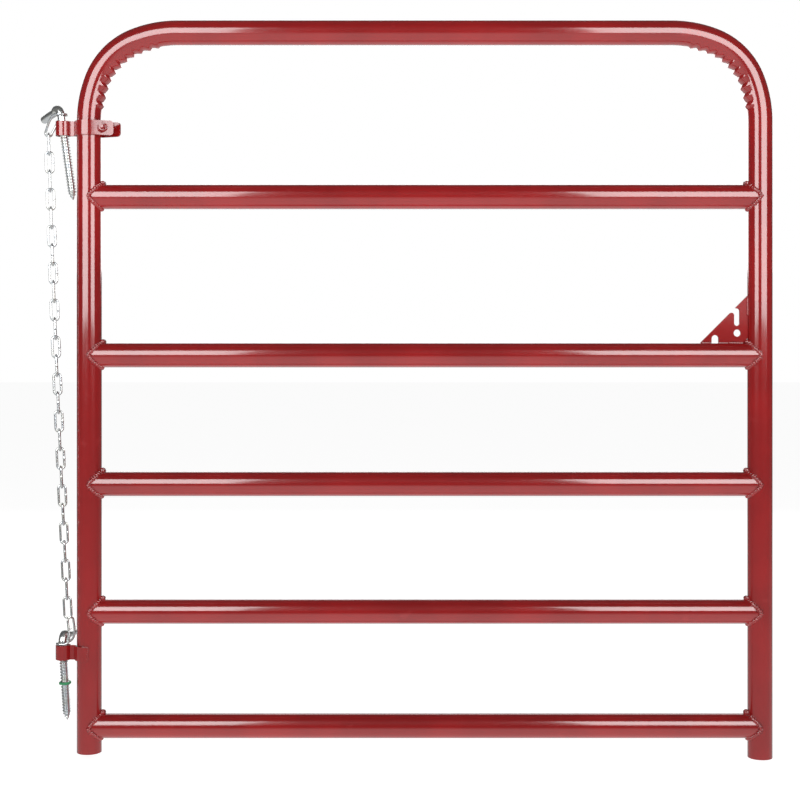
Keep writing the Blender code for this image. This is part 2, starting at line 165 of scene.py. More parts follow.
class HingeSizes(bpy.types.PropertyGroup):
    """The two straps and the clamp bolt."""

    eye_bore: FloatProperty(
        name="Eye bore", description="Radius of the eye's bore", default=0.0096, unit="LENGTH"
    )
    strap: FloatProperty(name="Strap", description="Thickness of the flat bar", default=0.0032, unit="LENGTH")
    neck: FloatProperty(
        name="Neck", description="Half gap between the walls at the neck", default=0.0018, unit="LENGTH"
    )
    fillet: FloatProperty(
        name="Fillet", description="Bend radius beside the neck", default=0.004, unit="LENGTH"
    )
    ear_angle: FloatProperty(
        name="Ear angle", description="Lean of each ear", default=math.radians(20), subtype="ANGLE"
    )
    front_ear: FloatProperty(
        name="Front ear", description="Length of the front ear", default=0.0375, unit="LENGTH"
    )
    back_ear: FloatProperty(
        name="Back ear", description="Length of the back ear", default=0.0475, unit="LENGTH"
    )
    ear_corner: FloatProperty(
        name="Ear corner", description="Radius of an ear's corners", default=0.006, unit="LENGTH"
    )
    bolt: FloatProperty(name="Bolt", description="Radius of the clamp bolt", default=0.00476, unit="LENGTH")
    bolt_hole: FloatProperty(
        name="Bolt hole", description="Radius of the ears' holes", default=0.0056, unit="LENGTH"
    )
    hexagon: FloatProperty(
        name="Hexagon", description="Width of the hexagon across flats", default=0.0143, unit="LENGTH"
    )


class LagSizes(bpy.types.PropertyGroup):
    """The two lag-screw hinge pins and the keeper ring."""

    body: FloatProperty(name="Body", description="Radius of the smooth rod", default=0.00675, unit="LENGTH")
    crest: FloatProperty(name="Crest", description="Radius over the thread", default=0.0078, unit="LENGTH")
    root: FloatProperty(name="Root", description="Radius under the thread", default=0.0058, unit="LENGTH")
    crest_width: FloatProperty(
        name="Crest width", description="Share of a turn that stands out", default=0.52
    )
    pitch: FloatProperty(
        name="Pitch", description="Spacing of the thread's turns", default=0.0051, unit="LENGTH"
    )
    point: FloatProperty(name="Point", description="Length of the point", default=0.014, unit="LENGTH")
    elbow: FloatProperty(name="Elbow", description="Radius of the upset elbow", default=0.0092, unit="LENGTH")
    bend: FloatProperty(
        name="Bend", description="Radius of the bend, on the axis", default=0.011, unit="LENGTH"
    )


class ChainSizes(bpy.types.PropertyGroup):
    """The chain's links and its two end loops."""

    inside: FloatProperty(name="Inside", description="Length inside a link", default=0.0323, unit="LENGTH")
    width: FloatProperty(name="Width", description="Width over a link", default=0.016, unit="LENGTH")
    wire: FloatProperty(name="Wire", description="Radius of the wire", default=0.002, unit="LENGTH")
    weld: FloatProperty(
        name="Weld", description="Swelling at each link's weld", default=0.0004, unit="LENGTH"
    )


class LatchSizes(bpy.types.PropertyGroup):
    """The corner plate, measured from the corner between the leg and the rail."""

    side: FloatProperty(
        name="Side", description="Length of the plate's short sides", default=0.082, unit="LENGTH"
    )
    thickness: FloatProperty(
        name="Thickness", description="Thickness of the plate", default=0.0048, unit="LENGTH"
    )
    slot: FloatProperty(name="Slot", description="Half width of the slot", default=0.00475, unit="LENGTH")
    prong: FloatProperty(
        name="Prong", description="Radius of the lower prong's end", default=0.0045, unit="LENGTH"
    )
    hole: FloatProperty(name="Hole", description="Radius of the round hole", default=0.0062, unit="LENGTH")
    arch: FloatProperty(name="Arch", description="Half width of the arch", default=0.00605, unit="LENGTH")


class Finishes(bpy.types.PropertyGroup):
    """Colours of the finishes."""

    paint: FloatVectorProperty(
        name="Paint", description="Powder coat", default=(0.42, 0.0105, 0.0115), subtype="COLOR", size=3
    )
    zinc: FloatVectorProperty(
        name="Zinc", description="Zinc plate", default=(0.66, 0.70, 0.73), subtype="COLOR", size=3
    )
    keeper: FloatVectorProperty(
        name="Keeper", description="Moulded plastic", default=(0.02, 0.30, 0.11), subtype="COLOR", size=3
    )


class StageSettings(bpy.types.PropertyGroup):
    """The floor, the lights and the camera."""

    distance: FloatProperty(
        name="Distance", description="From the gate to the camera", default=2.5, unit="LENGTH"
    )
    height: FloatProperty(name="Height", description="Height of the camera", default=0.70, unit="LENGTH")
    aim: FloatVectorProperty(
        name="Aim",
        description="Middle of the view on the gate's plane, across and up", default=(0.581, 0.626), size=2,
    )
    span: FloatProperty(
        name="Span", description="Width of the view at the gate", default=1.380, unit="LENGTH"
    )
    box_front: FloatProperty(
        name="Box distance", description="Front boxes to the gate", default=2.27, unit="LENGTH"
    )
    box_width: FloatProperty(
        name="Box width", description="Width of each front box", default=2.9, unit="LENGTH"
    )
    box_height: FloatProperty(
        name="Box height", description="Height of each front box", default=2.1, unit="LENGTH"
    )
    box_low: FloatProperty(
        name="Box foot", description="Height of the front boxes' foot", default=0.8, unit="LENGTH"
    )
    shine: FloatProperty(name="Shine", description="Power of each front box, in watts", default=100)
    fill: FloatProperty(name="Fill", description="Power of the front light, in watts", default=64)
    top: FloatProperty(name="Top", description="Power of the light overhead, in watts", default=12)
    back: FloatProperty(name="Back", description="Power of the light behind, in watts", default=45)
    floor: FloatVectorProperty(
        name="Floor", description="Colour of the floor", default=(0.38, 0.38, 0.38), subtype="COLOR", size=3
    )


# ---------------------------------------------------------------- nodes


class Wire:
    """A socket that sums can be written with."""

    def __init__(self, net, socket):
        self.net = net
        self.socket = socket

    def math(self, operation, *values):
        sockets = dict(enumerate(values))
        return self.net.add("ShaderNodeMath", {"operation": operation}, sockets)

    def __add__(self, other):
        return self.math("ADD", self, other)

    def __radd__(self, other):
        return self.math("ADD", other, self)

    def __sub__(self, other):
        return self.math("SUBTRACT", self, other)

    def __rsub__(self, other):
        return self.math("SUBTRACT", other, self)

    def __mul__(self, other):
        return self.math("MULTIPLY", self, other)

    def __rmul__(self, other):
        return self.math("MULTIPLY", other, self)

    def __truediv__(self, other):
        return self.math("DIVIDE", self, other)


class Net:
    """Adds nodes to one tree."""

    def __init__(self, tree):
        self.tree = tree

    def node(self, kind, settings=None, sockets=None):
        """A node, with its settings made first, and its sockets linked or set."""
        made = self.tree.nodes.new(kind)
        for name, value in (settings or {}).items():
            if name == "stops":
                self.ramp(made, value)
            else:
                setattr(made, name, value)
        for key, value in (sockets or {}).items():
            if isinstance(value, Wire):
                self.tree.links.new(value.socket, made.inputs[key])
            else:
                made.inputs[key].default_value = value
        return made

    def add(self, kind, settings=None, sockets=None, output=0):
        """A node's output, ready for sums."""
        return Wire(self, self.node(kind, settings, sockets).outputs[output])

    def ramp(self, node, stops):
        elements = node.color_ramp.elements
        while len(elements) < len(stops):
            elements.new(1)
        for element, (place, colour) in zip(elements, stops):
            element.position = place
            element.color = (*colour, 1)

    def vector(self, operation, *values, output=0):
        sockets = dict(enumerate(values))
        return self.add("ShaderNodeVectorMath", {"operation": operation}, sockets, output)

    def step(self, value, start, end):
        """0 below the start, 1 over the end, and smooth between them."""
        settings = {"interpolation_type": "SMOOTHSTEP"}
        sockets = {"Value": value, "From Min": start, "From Max": end}
        return self.add("ShaderNodeMapRange", settings, sockets)

    def mix(self, factor, a, b):
        """Two colours mixed. Either may be a plain colour."""
        node = self.node("ShaderNodeMix", {"data_type": "RGBA"}, {0: factor})
        for slot, value in ((6, a), (7, b)):
            if isinstance(value, Wire):
                self.tree.links.new(value.socket, node.inputs[slot])
            else:
                node.inputs[slot].default_value = (*value, 1)
        return Wire(self, node.outputs[2])

    def noise(self, place, scale, detail=2.0, roughness=0.5):
        sockets = {"Vector": place, "Scale": scale, "Detail": detail, "Roughness": roughness}
        return self.add("ShaderNodeTexNoise", None, sockets)


SOCKETS = {float: "NodeSocketFloat", int: "NodeSocketInt", tuple: "NodeSocketVector"}


def new_tree(name, inputs):
    """A geometry tree, with its named inputs as wires."""
    tree = bpy.data.node_groups.new(name, "GeometryNodeTree")
    tree.interface.new_socket("Geometry", in_out="INPUT", socket_type="NodeSocketGeometry")
    tree.interface.new_socket("Geometry", in_out="OUTPUT", socket_type="NodeSocketGeometry")
    for title, default in inputs.items():
        made = tree.interface.new_socket(title, in_out="INPUT", socket_type=SOCKETS[type(default)])
        made.default_value = default
    net = Net(tree)
    start = tree.nodes.new("NodeGroupInput")
    wires = {socket.name: Wire(net, socket) for socket in start.outputs if socket.name}
    return net, wires


def end_tree(net, mesh, material):
    """Realize Instances, Set Material and the tree's output."""
    mesh = net.add("GeometryNodeSetShadeSmooth", None, {"Geometry": mesh})
    mesh = net.add("GeometryNodeRealizeInstances", None, {"Geometry": mesh})
    mesh = net.add("GeometryNodeSetMaterial", None, {"Geometry": mesh, "Material": material})
    net.node("NodeGroupOutput", None, {"Geometry": mesh})
    return net.tree


def keep_value(net, geometry, name, value, kind="FLOAT"):
    settings = {"data_type": kind, "domain": "POINT"}
    return net.add(
        "GeometryNodeStoreNamedAttribute", settings, {"Geometry": geometry, "Name": name, "Value": value}
    )


def kept(net, name, kind="FLOAT"):
    return net.add("GeometryNodeInputNamedAttribute", {"data_type": kind}, {"Name": name})


def circle(net, sides, radius):
    sockets = {"Resolution": sides, "Radius": radius}
    return net.add("GeometryNodeCurvePrimitiveCircle", {"mode": "RADIUS"}, sockets)


def swept(net, path, ring, caps):
    sockets = {"Curve": path, "Profile Curve": ring, "Fill Caps": caps}
    return net.add("GeometryNodeCurveToMesh", None, sockets)


def sweep(net, path, sides, radius, caps):
    """The path as a round bar, whose points know their axis point, their run along it and their turn."""
    curve = net.add("GeometryNodeMeshToCurve", None, {"Mesh": path})
    curve = keep_value(net, curve, "axis", net.add("GeometryNodeInputPosition"), "FLOAT_VECTOR")
    curve = keep_value(net, curve, "tangent", net.add("GeometryNodeInputTangent"), "FLOAT_VECTOR")
    curve = keep_value(net, curve, "along", net.add("GeometryNodeSplineParameter", output="Length"))
    ring = circle(net, sides, radius)
    ring = keep_value(net, ring, "around", net.add("GeometryNodeSplineParameter", output="Factor"))
    return swept(net, curve, ring, caps)


def away_from_axis(net):
    """The unit vector from a swept bar's axis to its point."""
    here = net.add("GeometryNodeInputPosition")
    return net.vector("NORMALIZE", net.vector("SUBTRACT", here, kept(net, "axis", "FLOAT_VECTOR")))


def scaled(net, vector, factor):
    node = net.node("ShaderNodeVectorMath", {"operation": "SCALE"}, {0: vector, "Scale": factor})
    return Wire(net, node.outputs[0])


def push(net, mesh, offset):
    """The mesh moved straight away from its axis."""
    sockets = {"Geometry": mesh, "Offset": scaled(net, away_from_axis(net), offset)}
    return net.add("GeometryNodeSetPosition", None, sockets)


# ---------------------------------------------------------------- materials


def material(name):
    """A new material, with its net, its shader and its object coordinates."""
    made = bpy.data.materials.new(name)
    made.use_nodes = True
    net = Net(made.node_tree)
    shader = made.node_tree.nodes["Principled BSDF"]
    place = net.add("ShaderNodeTexCoord", output="Object")
    return made, net, shader, place


def feed(net, shader, **wires):
    for name, wire in wires.items():
        net.tree.links.new(wire.socket, shader.inputs[name.replace("_", " ")])


def bumped(net, height, strength, distance):
    sockets = {"Height": height, "Strength": strength, "Distance": distance}
    return net.add("ShaderNodeBump", None, sockets)


def powder_coat(name="red powder coat", gloss=1.0):
    """Red powder coat, with orange peel, slight mottling and a few rubbed patches."""
    if name in bpy.data.materials:
        return bpy.data.materials[name]
    made, net, shader, place = material(name)
    red = tuple(bpy.context.scene.gate_finishes.paint)
    deep = tuple(channel * 0.80 for channel in red)
    pale = (red[0] * 1.12, red[1] * 1.7, red[2] * 1.7)
    cloud = net.noise(place, 9.0, 3.0)
    speck = net.noise(place, 260.0, 2.0)
    rubbed = net.step(net.noise(place, 34.0, 5.0, 0.62), 0.62, 0.74)
    colour = net.mix(net.step(cloud, 0.32, 0.7), deep, red)
    colour = net.mix(rubbed * 0.35, colour, pale)
    peel = net.noise(place, 520.0, 1.0) + net.noise(place, 170.0, 1.0) * 0.8
    feed(
        net,
        shader,
        Base_Color=colour,
        Roughness=(0.13 + speck * 0.05 + rubbed * 0.10) + 0.3 * (1.0 - gloss),
        Normal=bumped(net, peel, 0.05, 0.0005),
    )
    shader.inputs["Specular IOR Level"].default_value = 0.5 * gloss
    shader.inputs["Coat Weight"].default_value = gloss
    shader.inputs["Coat Roughness"].default_value = 0.08
    shader.inputs["Coat IOR"].default_value = 1.62
    return made


def zinc_plate():
    """Bright zinc over steel, a little cloudy, with dull grey spots and fine draw marks."""
    if "bright zinc" in bpy.data.materials:
        return bpy.data.materials["bright zinc"]
    made, net, shader, place = material("bright zinc")
    bright = tuple(bpy.context.scene.gate_finishes.zinc)
    dull = (bright[0] * 0.62, bright[1] * 0.63, bright[2] * 0.66)
    warm = (bright[0] * 1.05, bright[1] * 1.0, bright[2] * 0.90)
    cloud = net.noise(place, 90.0, 3.0)
    spots = net.step(net.noise(place, 420.0, 4.0, 0.6), 0.58, 0.72)
    colour = net.mix(net.step(cloud, 0.35, 0.68), bright, warm)
    colour = net.mix(spots * 0.6, colour, dull)
    stretch = net.add("ShaderNodeMapping", None, {"Vector": place, "Scale": (1.0, 1.0, 0.12)})
    marks = net.noise(stretch, 1500.0, 2.0)
    feed(
        net,
        shader,
        Base_Color=colour,
        Roughness=0.20 + cloud * 0.10 + spots * 0.18,
        Normal=bumped(net, marks + spots * 0.5, 0.16, 0.0002),
    )
    shader.inputs["Metallic"].default_value = 0.88
    return made


def keeper_plastic():
    """Green moulded plastic, satin, with a slight grain."""
    made, net, shader, place = material("green plastic")
    green = tuple(bpy.context.scene.gate_finishes.keeper)
    light = (green[0] * 2.0 + 0.01, green[1] * 1.35, green[2] * 1.35)
    cloud = net.noise(place, 300.0, 2.0)
    grain = net.noise(place, 2400.0, 1.0)
    feed(
        net,
        shader,
        Base_Color=net.mix(cloud, green, light),
        Roughness=0.38 + cloud * 0.15,
        Normal=bumped(net, grain, 0.2, 0.0001),
    )
    return made


# ---------------------------------------------------------------- meshes


def arc(centre, radius, start, end, steps):
    """Points of a flat arc, both ends included."""
    angles = [start + (end - start) * i / steps for i in range(steps + 1)]
    return [Vector((centre[0] + radius * math.cos(a), centre[1] + radius * math.sin(a))) for a in angles]


def smooth_through(points, steps):
    """Points of a Catmull-Rom curve through the given ones."""
    ends = [2 * points[0] - points[1], *points, 2 * points[-1] - points[-2]]
    made = []
    for a, b, c, d in zip(ends, ends[1:], ends[2:], ends[3:]):
        for i in range(steps):
            t = i / steps
            made.append(
                0.5 * (
                    2 * b
                    + (c - a) * t
                    + (2 * a - 5 * b + 4 * c - d) * t**2
                    + (3 * b - a - 3 * c + d) * t**3
                )
            )
    return [*made, points[-1]]


def mesh_from(shape, name):
    """The shape as a mesh; the shape itself is freed."""
    mesh = bpy.data.meshes.new(name)
    shape.to_mesh(mesh)
    shape.free()
    return mesh


def path_mesh(points, closed=False, thick=None):
    """A run of edges, with the bar's radius at each point where it changes."""
    shape = bmesh.new()
    layer = shape.verts.layers.float.new("thick")
    verts = [shape.verts.new(point) for point in points]
    for i, vert in enumerate(verts):
        vert[layer] = thick[i] if thick else 1
    pairs = list(zip(verts, verts[1:]))
    if closed:
        pairs.append((verts[-1], verts[0]))
    for pair in pairs:
        shape.edges.new(pair)
    mesh = mesh_from(shape, "path")
    return mesh


def tidy_mesh(mesh):
    """Merges doubles and turns the faces outwards."""
    shape = bmesh.new()
    shape.from_mesh(mesh)
    bmesh.ops.remove_doubles(shape, verts=shape.verts, dist=0.000002)
    bmesh.ops.recalc_face_normals(shape, faces=shape.faces)
    shape.to_mesh(mesh)
    shape.free()


def put(name, mesh):
    made = bpy.data.objects.new(name, mesh)
    bpy.context.scene.collection.objects.link(made)
    return made


def applied(obj):
    """The object with its modifiers made part of its mesh."""
    graph = bpy.context.evaluated_depsgraph_get()
    mesh = bpy.data.meshes.new_from_object(obj.evaluated_get(graph))
    mesh.name = obj.name
    obj.modifiers.clear()
    obj.data = mesh
    return obj


def grown(name, mesh, tree, **values):
    """The mesh that the tree makes from a start mesh, as a plain object."""
    made = put(name, mesh)
    modifier = made.modifiers.new("nodes", "NODES")
    modifier.node_group = tree
    for item in tree.interface.items_tree:
        key = item.name.lower().replace(" ", "_")
        if item.in_out == "INPUT" and key in values:
            modifier[item.identifier] = values[key]
    applied(made)
    tidy_mesh(made.data)
    return made


def join(name, parts):
    """Several objects' meshes as one piece."""
    shape = bmesh.new()
    material_of = parts[0].data.materials[0]
    for part in parts:
        shape.from_mesh(part.data)
        bpy.data.objects.remove(part)
    for face in shape.faces:
        face.material_index = 0
        face.smooth = True
    mesh = mesh_from(shape, name)
    mesh.materials.append(material_of)
    return put(name, mesh)


def modifier(obj, kind, **settings):
    made = obj.modifiers.new(kind.lower(), kind)
    for name, value in settings.items():
        setattr(made, name, value)
    return made


def rounded(obj, width, segments=2, angle=math.radians(40)):
    """Rounds an object's sharp edges, and keeps its flat faces flat in their shading."""
    obj.data.shade_smooth()
    modifier(
        obj,
        "BEVEL",
        width=width,
        segments=segments,
        limit_method="ANGLE",
        angle_limit=angle,
        harden_normals=True,
    )
    return applied(obj)


def cylinder(name, radius, depth, sides, place, turn=None):
    """A capped cylinder on its own Z axis, with its place in its mesh."""
    shape = bmesh.new()
    bmesh.ops.create_cone(shape, cap_ends=True, segments=sides, radius1=radius, radius2=radius, depth=depth)
    matrix = Matrix.Translation(place) @ (turn.to_4x4() if turn else Matrix.Identity(4))
    shape.transform(matrix)
    mesh = mesh_from(shape, name)
    return put(name, mesh)


def carve(obj, cutter, operation="DIFFERENCE"):
    modifier(obj, "BOOLEAN", operation=operation, solver="EXACT", object=cutter)
    applied(obj)
    bpy.data.objects.remove(cutter)
    return obj


def finish(obj, body, slot, surface, *nodes):
    """Gives the piece its material and body, and hides the nodes that it stands for. The slot is not used."""
    obj.data.materials.clear()
    obj.data.materials.append(surface)
    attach(obj, body)
    if nodes:
        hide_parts(*nodes)
    return obj


FACE_FRONT = Matrix.Rotation(math.pi / 2, 3, "X")
ALONG_X = Matrix.Rotation(math.pi / 2, 3, "Y")


# ---------------------------------------------------------------- frame


def bent_tube_tree():
    """A tube whose bends are creased on their inside, as a press leaves them."""
    inputs = {
        "Sides": 48,
        "Radius": 0.02,
        "Foot": 0.01,
        "Leg": 1.0,
        "Run": 3.0,
        "Bend length": 0.2,
        "Crease pitch": 0.02,
        "Crease height": 0.004,
    }
    net, given = new_tree("Bent tube", inputs)
    tube = sweep(net, given["Geometry"], given["Sides"], given["Radius"], False)
    along = kept(net, "along") + given["Foot"]
    from_foot = along.math("MINIMUM", along, given["Run"] - along)
    into_bend = from_foot - given["Leg"]
    turns = into_bend / given["Crease pitch"]
    part = turns.math("FRACT", turns)
    slope = part.math("MINIMUM", part / 0.68, (1.0 - part) / 0.32)
    crest = net.step(slope, -0.25, 1.12)
    number = turns.math("FLOOR", turns)
    chance = net.add("ShaderNodeTexWhiteNoise", {"noise_dimensions": "1D"}, {"W": number})
    side_way = net.vector("CROSS_PRODUCT", (0.0, 1.0, 0.0), kept(net, "tangent", "FLOAT_VECTOR"))
    inwards = net.vector("DOT_PRODUCT", away_from_axis(net), side_way, output="Value")
    lump = net.noise(net.add("GeometryNodeInputPosition"), 60.0, 1.0)
    reach = net.step(inwards + (lump - 0.5) * 0.25, 0.48, 1.05)
    window = net.step(into_bend, 0.020, 0.030) * net.step(given["Bend length"] - into_bend, 0.030, 0.040)
    height = (crest * (0.85 + chance * 0.3) - 0.25) * given["Crease height"]
    tube = push(net, tube, height * reach * window)
    return end_tree(net, tube, powder_coat())


def eased_bend(sizes):
    """A right-angled bend from straight up to level, tight in its middle, and how far it reaches each way."""
    slack = sizes.ease - sizes.bend
    turn = sizes.ease_angle
    centre = (sizes.ease - slack * math.cos(turn), slack * math.sin(turn))
    reach = sum(centre)
    start = arc((sizes.ease, 0), sizes.ease, math.pi, math.pi - turn, 60)
    tight = arc(centre, sizes.bend, math.pi - turn, math.pi / 2 + turn, 110)
    end = [Vector((reach - p.y, reach - p.x)) for p in reversed(start)]
    return [*start, *tight[1:], *end[1:]], reach


class GATE_OT_frame_tube(bpy.types.Operator):
    """Make the bent tube, from foot to foot, with creased bends"""

    bl_idname = "gate.frame_tube"
    bl_label = "Frame tube"

    def execute(self, context):
        sizes = context.scene.gate_frame
        top = GATE_HEIGHT - TUBE_RADIUS
        bend, reach = eased_bend(sizes)
        leg = top - reach
        left = [Vector((LEFT_LEG_X + p.x, leg + p.y)) for p in bend]
        right = [Vector((RIGHT_LEG_X - p.x, leg + p.y)) for p in reversed(bend)]
        path = [Vector((LEFT_LEG_X, sizes.left_foot)), Vector((LEFT_LEG_X, leg * 0.98)), *left]
        path += [*right, Vector((RIGHT_LEG_X, leg * 0.98)), Vector((RIGHT_LEG_X, 0))]
        points = [(p.x, 0, p.y) for p in path]
        bend_length = sum((b - a).length for a, b in zip(bend, bend[1:]))
        across = RIGHT_LEG_X - LEFT_LEG_X - 2 * reach
        tube = grown(
            "frame_tube_skin",
            path_mesh(points),
            bent_tube_tree(),
            sides=sizes.sides,
            radius=TUBE_RADIUS,
            foot=sizes.left_foot,
            leg=leg,
            run=2 * (leg + bend_length) + across,
            bend_length=bend_length,
            crease_pitch=sizes.crease_pitch,
            crease_height=sizes.crease_height,
        )
        modifier(tube, "SOLIDIFY", thickness=sizes.wall, offset=-1)
        applied(tube)
        tube.data.shade_smooth()
        tube.data.set_sharp_from_angle(angle=math.radians(60))
        finish(tube, "gate", "red_paint", powder_coat(), "frame_tube")
        return {"FINISHED"}


class GATE_OT_rails(bpy.types.Operator):
    """Make the rails, with both ends coped to the legs"""

    bl_idname = "gate.rails"
    bl_label = "Rails"

    def execute(self, context):
        sizes = context.scene.gate_frame
        for node in RAILS:
            centre = Vector((GATE_MIDDLE_X, 0, middle(node).z))
            length = RIGHT_LEG_X - LEFT_LEG_X
            rail = cylinder(f"{node}_skin", TUBE_RADIUS, length, sizes.sides, centre, ALONG_X)
            for x in (LEFT_LEG_X, RIGHT_LEG_X):
                leg = cylinder("leg", TUBE_RADIUS - 0.0002, 4 * TUBE_RADIUS, 96, Vector((x, 0, centre.z)))
                carve(rail, leg)
            rail.data.shade_smooth()
            rail.data.set_sharp_from_angle(angle=math.radians(35))
            finish(rail, "gate", "red_paint", powder_coat(), node)
        return {"FINISHED"}


# ---------------------------------------------------------------- welds


def weld_tree():
    """A bead along a path: a low round body under overlapping ripples, each a little different."""
    net, given = new_tree("Weld bead", {"Width": 0.006, "Ripple": 0.003, "Seed": 1})
    curve = net.add("GeometryNodeMeshToCurve", None, {"Mesh": given["Geometry"]})
    half = given["Width"] * 0.5
    body = swept(net, curve, circle(net, 8, half * 0.72), True)
    spaced = {"Curve": curve, "Length": given["Ripple"]}
    spaced = net.add("GeometryNodeResampleCurve", {"mode": "LENGTH"}, spaced)
    ripple = net.add("GeometryNodeMeshUVSphere", None, {"Segments": 8, "Rings": 5, "Radius": half})
    ripple = net.add("GeometryNodeTransform", None, {"Geometry": ripple, "Scale": (1.0, 1.0, 0.6)})
    lean = net.add(
        "FunctionNodeAlignRotationToVector",
        {"axis": "Z"},
        {"Vector": net.add("GeometryNodeInputTangent")},
    )
    size = net.add(
        "FunctionNodeRandomValue",
        {"data_type": "FLOAT"},
        {"Min": 0.78, "Max": 1.14, "Seed": given["Seed"]},
        output=1,
    )
    across = net.add("ShaderNodeCombineXYZ", None, {"X": size, "Y": size, "Z": 1.0})
    sockets = {"Points": spaced, "Instance": ripple, "Rotation": lean, "Scale": across}
    ripples = net.add("GeometryNodeInstanceOnPoints", None, sockets)
    both = net.node("GeometryNodeJoinGeometry")
    for part in (body, ripples):
        net.tree.links.new(part.socket, both.inputs[0])
    return end_tree(net, Wire(net, both.outputs[0]), powder_coat())


def saddle(leg_x, rail_z, towards):
    """Where a rail meets a leg, all round the rail, lifted out of the corner."""
    count = 64
    lift = 0.0002
    easing = 0.0032  # keeps the path's two ends round, where it crosses the leg's edge
    points = []
    for i in range(count):
        angle = 2 * math.pi * i / count
        round_rail = Vector((0, math.sin(angle), math.cos(angle)))
        y = TUBE_RADIUS * round_rail.y
        reach = math.sqrt(max(TUBE_RADIUS**2 - y**2, 0))
        reach = math.hypot(reach, easing)
        normal = round_rail + Vector((towards * reach, y, 0)) / TUBE_RADIUS
        corner = Vector((leg_x + towards * reach, y, rail_z + TUBE_RADIUS * round_rail.z))
        points.append(corner + normal.normalized() * lift)
    return points


BLOB_REACH = 0.0045
# the tacks that hold the latch plate to the leg and to the rail, measured from its corner
UPRIGHT_TACK = (0.048, 0.062, 0.077)
LEVEL_TACKS = ((-0.032, -0.022, -0.013), (-0.079, -0.072, -0.066))


class GATE_OT_welds(bpy.types.Operator):
    """Make the beads round the rails' ends, on the latch plate and on the lower strap"""

    bl_idname = "gate.welds"
    bl_label = "Weld beads"

    def execute(self, context):
        sizes = context.scene.gate_welds
        hinge = context.scene.gate_hinges
        tree = weld_tree()
        beads = []

        def bead(name, path, width, ripple, seed):
            beads.append(grown(name, path, tree, width=width, ripple=ripple, seed=seed))

        ends = ((LEFT_LEG_X, 1), (RIGHT_LEG_X, -1))
        for number, node in enumerate(RAILS):
            for side, (x, towards) in enumerate(ends):
                path = path_mesh(saddle(x, middle(node).z, towards), closed=True)
                bead(f"weld_{number}_{side}", path, sizes.width, sizes.ripple, 2 * number + side)
        # a blob on top of each joint, where the bead was started
        for number, node in enumerate(RAILS):
            for side, (x, towards) in enumerate(ends):
                corner = Vector((x + towards * TUBE_RADIUS, 0, middle(node).z + TUBE_RADIUS))
                run = [
                    corner + Vector((towards * 0.0026, y, 0.0022 - abs(y) * 0.12))
                    for y in (-BLOB_REACH, 0, BLOB_REACH)
                ]
                path = path_mesh(smooth_through(run, 3))
                bead(f"blob_{number}_{side}", path, sizes.width * 1.15, sizes.ripple, 80 + number)
        face = context.scene.gate_latch.thickness / 2
        tacks = []
        for y in (-face, face):
            tacks.append([LATCH_CORNER + Vector((-0.0004, y, z)) for z in UPRIGHT_TACK])
            for tack in LEVEL_TACKS:
                tacks.append([LATCH_CORNER + Vector((x, y, 0.0002)) for x in tack])
        strap_x = high("lower_hinge_strap").x + 0.0006
        strap_y = -TUBE_RADIUS - hinge.strap * 0.35
        reach = 0.9 * STRAP_HEIGHT / 2
        tacks.append([Vector((strap_x, strap_y, LOWER_EYE.z + z)) for z in (-reach, 0, reach)])
        for number, points in enumerate(tacks):
            path = path_mesh(smooth_through(points, 5))
            bead(f"tack_{number}", path, sizes.tack, sizes.ripple * 0.8, 40 + number)
        welds = join("weld_beads", beads)
        finish(welds, "gate", "red_paint", powder_coat())
        return {"FINISHED"}


# ---------------------------------------------------------------- latch plate


PLATE_GLOSS = 0.15  # the plate mirrors far less than the tubes


class GATE_OT_latch_plate(bpy.types.Operator):
    """Make the corner plate, with its slot, hole and arch"""

    bl_idname = "gate.latch_plate"
    bl_label = "Latch plate"

    def execute(self, context):
        sizes = context.scene.gate_latch
        edge = sizes.side + GAP
        corner_cut = 0.008
        lip = 0.003
        arch_x, arch_z = -0.05665, 0.0075
        slot_x, slot_low, slot_high = -0.01915, 0.0342, 0.0547
        hole_centre = (-0.0186, 0.017)
        prong_x = slot_x - sizes.slot - sizes.prong
        prong_z = edge + prong_x - sizes.prong * math.sqrt(2)
        outline = [
            Vector((-sizes.side, GAP)),
            Vector((arch_x - sizes.arch, GAP)),
            *arc((arch_x, arch_z), sizes.arch, math.pi, 0, 28),
            Vector((arch_x + sizes.arch, GAP)),
            Vector((-corner_cut - GAP, GAP)),
            Vector((-GAP, corner_cut + GAP)),
            Vector((-GAP, sizes.side)),
            Vector((slot_x - lip, edge + slot_x - lip)),
            *arc((slot_x, slot_high), sizes.slot, math.radians(75), 0, 12),
            *arc((slot_x, slot_low), sizes.slot, 0, -math.pi, 28),
            *arc((prong_x, prong_z), sizes.prong, 0, math.radians(135), 18),
        ]
        hole = arc(hole_centre, sizes.hole, 0, 2 * math.pi, 56)[:-1]
        data = bpy.data.curves.new("latch_plate_skin", "CURVE")
        data.dimensions = "2D"
        data.fill_mode = "BOTH"
        data.extrude = sizes.thickness / 2
        for loop in (outline, hole):
            spline = data.splines.new("POLY")
            spline.points.add(len(loop) - 1)
            for point, target in zip(loop, spline.points):
                target.co = (point.x, point.y, 0, 1)
            spline.use_cyclic_u = True
        helper = put("plate outline", data)
        graph = context.evaluated_depsgraph_get()
        mesh = bpy.data.meshes.new_from_object(helper.evaluated_get(graph))
        bpy.data.objects.remove(helper)
        corner = Vector((LATCH_CORNER.x + GAP, 0, LATCH_CORNER.z - GAP))
        mesh.transform(Matrix.Translation(corner) @ FACE_FRONT.to_4x4())
        tidy_mesh(mesh)
        plate = rounded(put("latch_plate_skin", mesh), 0.00045)
        finish(plate, "gate", "red_paint", powder_coat("dull red powder coat", PLATE_GLOSS), "latch_plate")
        return {"FINISHED"}


# ---------------------------------------------------------------- hinges


